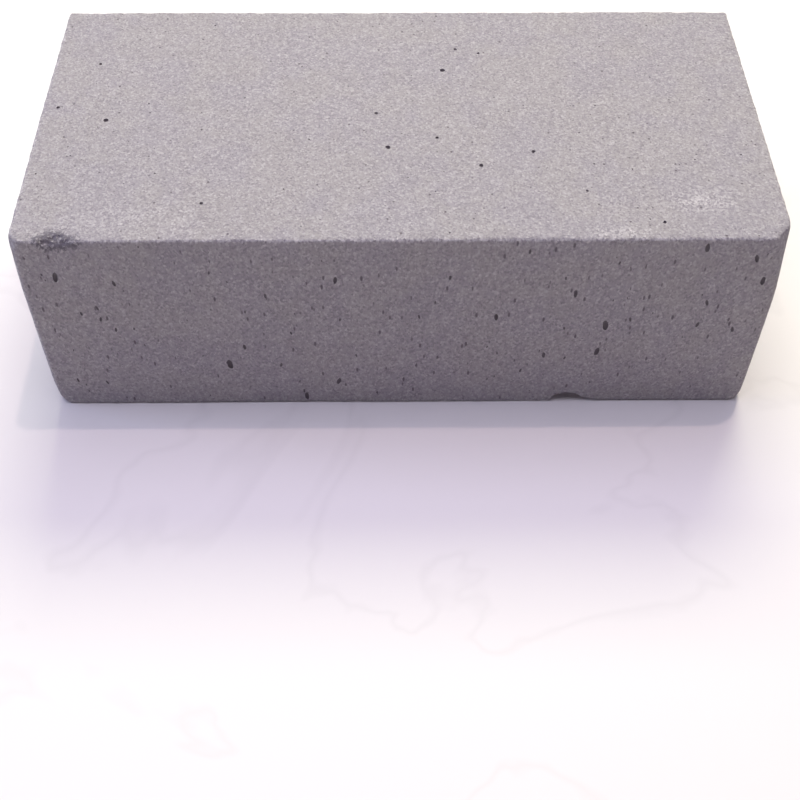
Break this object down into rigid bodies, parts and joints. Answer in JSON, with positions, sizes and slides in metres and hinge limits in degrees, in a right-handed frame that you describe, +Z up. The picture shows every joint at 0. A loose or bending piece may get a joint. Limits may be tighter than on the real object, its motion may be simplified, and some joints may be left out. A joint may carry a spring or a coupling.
{
  "type": "floral foam brick",
  "caption": "Dry floral foam brick: a rigid, fine-celled rectangular block that holds the stems of dried or artificial flowers pushed into it.",
  "frame": {"origin": "centre of the face that the brick rests on", "axes": "+X along the length, +Y from the front long face to the back, +Z up through the height"},
  "size_m": [0.23, 0.11, 0.08],
  "materials": {
    "foam": "matt open-cell rigid foam, sawn"
  },
  "bodies": {
    "root": {"foam_brick": "foam"}
  },
  "joints": []
}
